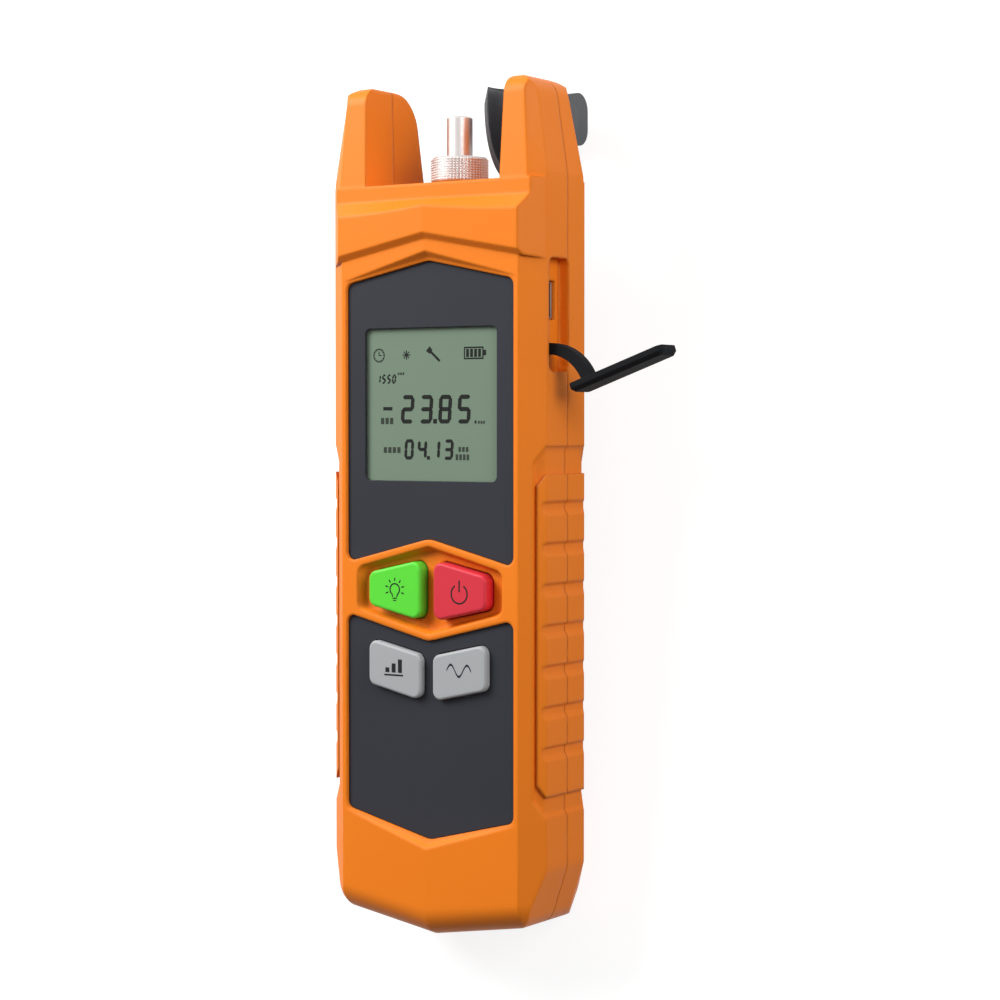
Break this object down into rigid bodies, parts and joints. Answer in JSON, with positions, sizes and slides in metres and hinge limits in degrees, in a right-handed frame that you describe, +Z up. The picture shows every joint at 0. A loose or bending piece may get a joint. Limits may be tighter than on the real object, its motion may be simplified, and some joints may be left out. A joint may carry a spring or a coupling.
{
  "type": "optical power meter",
  "caption": "Handheld fibre optic power meter: orange housing with two guard horns round the adapter, display, four keys, flip-over dust cover and a rubber charging port cover.",
  "frame": {"origin": "centre of the bounding box on the surface the meter lies on", "axes": "+X to the meter's right seen from its front, +Y along its length from the tail towards the guard horns, +Z up, out of the surface it lies on; the housing is tilted 5.92 degrees about +X, head raised, because it rests on its tail and its opened dust cover"},
  "size_m": [0.0784, 0.1818, 0.0404],
  "materials": {
    "housing_front": "satin",
    "housing_rear": "satin",
    "panel": "matte",
    "lens": "clear",
    "lcd": "satin",
    "light_guide": "satin",
    "white_plastic": "matte",
    "board": "satin",
    "steel": "satin",
    "nickel": "polished",
    "black_plastic": "matte",
    "ceramic": "polished",
    "green_key": "satin",
    "red_key": "satin",
    "grey_key": "satin",
    "rubber": "matte",
    "hood": "satin",
    "cell": "satin",
    "foam": "matte"
  },
  "bodies": {
    "housing": {"front_shell": "housing_front", "rear_shell": "housing_rear", "cover_bracket": "hood", "upper_panel": "panel", "lower_panel": "panel", "display_lens": "lens", "lcd_glass": "lcd", "lcd_backlight": "light_guide", "display_frame": "white_plastic", "circuit_board": "board", "board_screws": "steel", "tact_switches": "black_plastic", "case_screws": "steel", "battery": "cell", "battery_pad": "foam", "detector_barrel": "nickel", "barrel_nut": "nickel", "photodiode": "steel", "usb_socket": "steel", "usb_tongue": "black_plastic", "cover_pin": "steel"},
    "key_light": {"key_light": "green_key"},
    "key_power": {"key_power": "red_key"},
    "key_reference": {"key_reference": "grey_key"},
    "key_wavelength": {"key_wavelength": "grey_key"},
    "adapter": {"adapter_tube": "nickel", "ferrule_sleeve": "ceramic"},
    "nut": {"knurled_nut": "nickel"},
    "dust_cover": {"dust_cover": "hood"},
    "port_cover": {"port_cover": "rubber"}
  },
  "joints": [
    {"name": "light_press", "type": "slide", "parent": "housing", "child": "key_light", "axis": [0, 0.1031, -0.9947], "range_m": [0, 0.0008], "stiffness_N_per_m": 400, "springref_m": -0.0015},
    {"name": "power_press", "type": "slide", "parent": "housing", "child": "key_power", "axis": [0, 0.1031, -0.9947], "range_m": [0, 0.0008], "stiffness_N_per_m": 400, "springref_m": -0.0015},
    {"name": "reference_press", "type": "slide", "parent": "housing", "child": "key_reference", "axis": [0, 0.1031, -0.9947], "range_m": [0, 0.0008], "stiffness_N_per_m": 400, "springref_m": -0.0015},
    {"name": "wavelength_press", "type": "slide", "parent": "housing", "child": "key_wavelength", "axis": [0, 0.1031, -0.9947], "range_m": [0, 0.0008], "stiffness_N_per_m": 400, "springref_m": -0.0015},
    {"name": "adapter_lift", "type": "slide", "parent": "housing", "child": "adapter", "axis": [0, 0.9947, 0.1031], "range_m": [0, 0.003]},
    {"name": "nut_turn", "type": "hinge", "parent": "adapter", "child": "nut", "pos_m": [-0.0128, 0.06515, 0.02711], "axis": [0, 0.9947, 0.1031], "range_deg": [0, 1440]},
    {"name": "dust_cover_flip", "type": "hinge", "parent": "housing", "child": "dust_cover", "pos_m": [0.00195, 0.07961, 0.01755], "axis": [1, 0, 0], "range_deg": [0, 180]},
    {"name": "port_cover_swing", "type": "hinge", "parent": "housing", "child": "port_cover", "pos_m": [0.0126, 0.01994, 0.02579], "axis": [0, -0.1031, 0.9947], "range_deg": [0, 70.2]}
  ],
  "couplings": [
    {"joint": "nut_turn", "follows": "adapter_lift", "rad_per_m": 8377.6}
  ]
}
